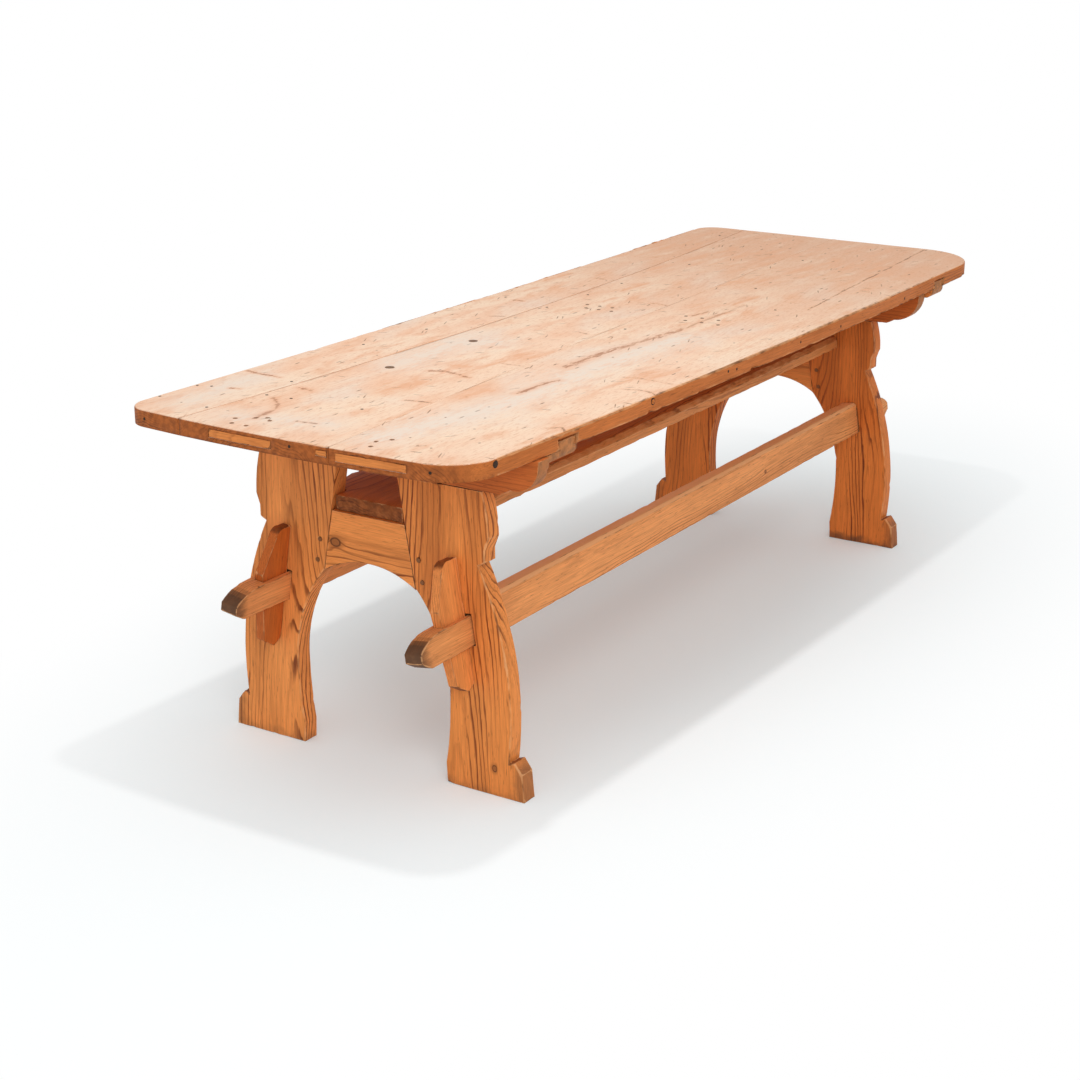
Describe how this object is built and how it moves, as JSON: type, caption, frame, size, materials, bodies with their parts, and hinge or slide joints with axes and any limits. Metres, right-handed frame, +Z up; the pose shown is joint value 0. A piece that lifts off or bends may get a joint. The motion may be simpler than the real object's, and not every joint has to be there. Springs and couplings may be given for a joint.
{
  "type": "trestle table",
  "caption": "Long pine trestle table that knocks down: shaped trestles joined by stretchers with wedged through tenons, and a thick plank top that lifts off.",
  "frame": {"origin": "on the floor, on the trestles' centre line, under the middle of the top's length", "axes": "+X along the table towards the end with the plain end grain, -Y towards the front long side with the large corner radii, +Z up"},
  "size_m": [2.512, 0.887, 0.76],
  "materials": {
    "top_pine": "scrubbed and bleached by use, matt",
    "frame_pine": "bare pine gone honey brown, low sheen",
    "wedge_pine": "bare, rubbed and hammered",
    "peg_wood": "dark end grain"
  },
  "bodies": {
    "trestle_frame": {"bearer_near": "frame_pine", "bearer_far": "frame_pine", "crosspiece_near": "frame_pine", "crosspiece_far": "frame_pine", "crosspiece_pegs_near": "peg_wood", "crosspiece_pegs_far": "peg_wood", "bearer_pegs_near": "peg_wood", "bearer_pegs_far": "peg_wood", "leg_near_front": "frame_pine", "leg_near_back": "frame_pine", "leg_far_front": "frame_pine", "leg_far_back": "frame_pine", "long_board": "frame_pine", "stretcher_front": "frame_pine", "stretcher_back": "frame_pine"},
    "top": {"plank_back": "top_pine", "plank_middle": "top_pine", "plank_front": "top_pine", "dowels_back_seam": "peg_wood", "dowels_front_seam": "peg_wood", "end_tongue_middle": "frame_pine", "end_tongue_front": "frame_pine", "end_key": "frame_pine", "tongue_pegs": "peg_wood", "batten_near": "frame_pine", "batten_far": "frame_pine"},
    "wedge_near_front": {"wedge_near_front": "wedge_pine"},
    "wedge_near_back": {"wedge_near_back": "wedge_pine"},
    "wedge_far_front": {"wedge_far_front": "wedge_pine"},
    "wedge_far_back": {"wedge_far_back": "wedge_pine"}
  },
  "joints": [
    {"name": "top_lift", "type": "slide", "parent": "trestle_frame", "child": "top", "axis": [0, 0, 1], "range_m": [0, 0.3]},
    {"name": "wedge_near_front_draw", "type": "slide", "parent": "trestle_frame", "child": "wedge_near_front", "axis": [0, 0.1561, 0.9877], "range_m": [0, 0.17]},
    {"name": "wedge_near_back_draw", "type": "slide", "parent": "trestle_frame", "child": "wedge_near_back", "axis": [0, -0.1561, 0.9877], "range_m": [0, 0.17]},
    {"name": "wedge_far_front_draw", "type": "slide", "parent": "trestle_frame", "child": "wedge_far_front", "axis": [0, 0.1561, 0.9877], "range_m": [0, 0.17]},
    {"name": "wedge_far_back_draw", "type": "slide", "parent": "trestle_frame", "child": "wedge_far_back", "axis": [0, -0.1561, 0.9877], "range_m": [0, 0.17]}
  ]
}
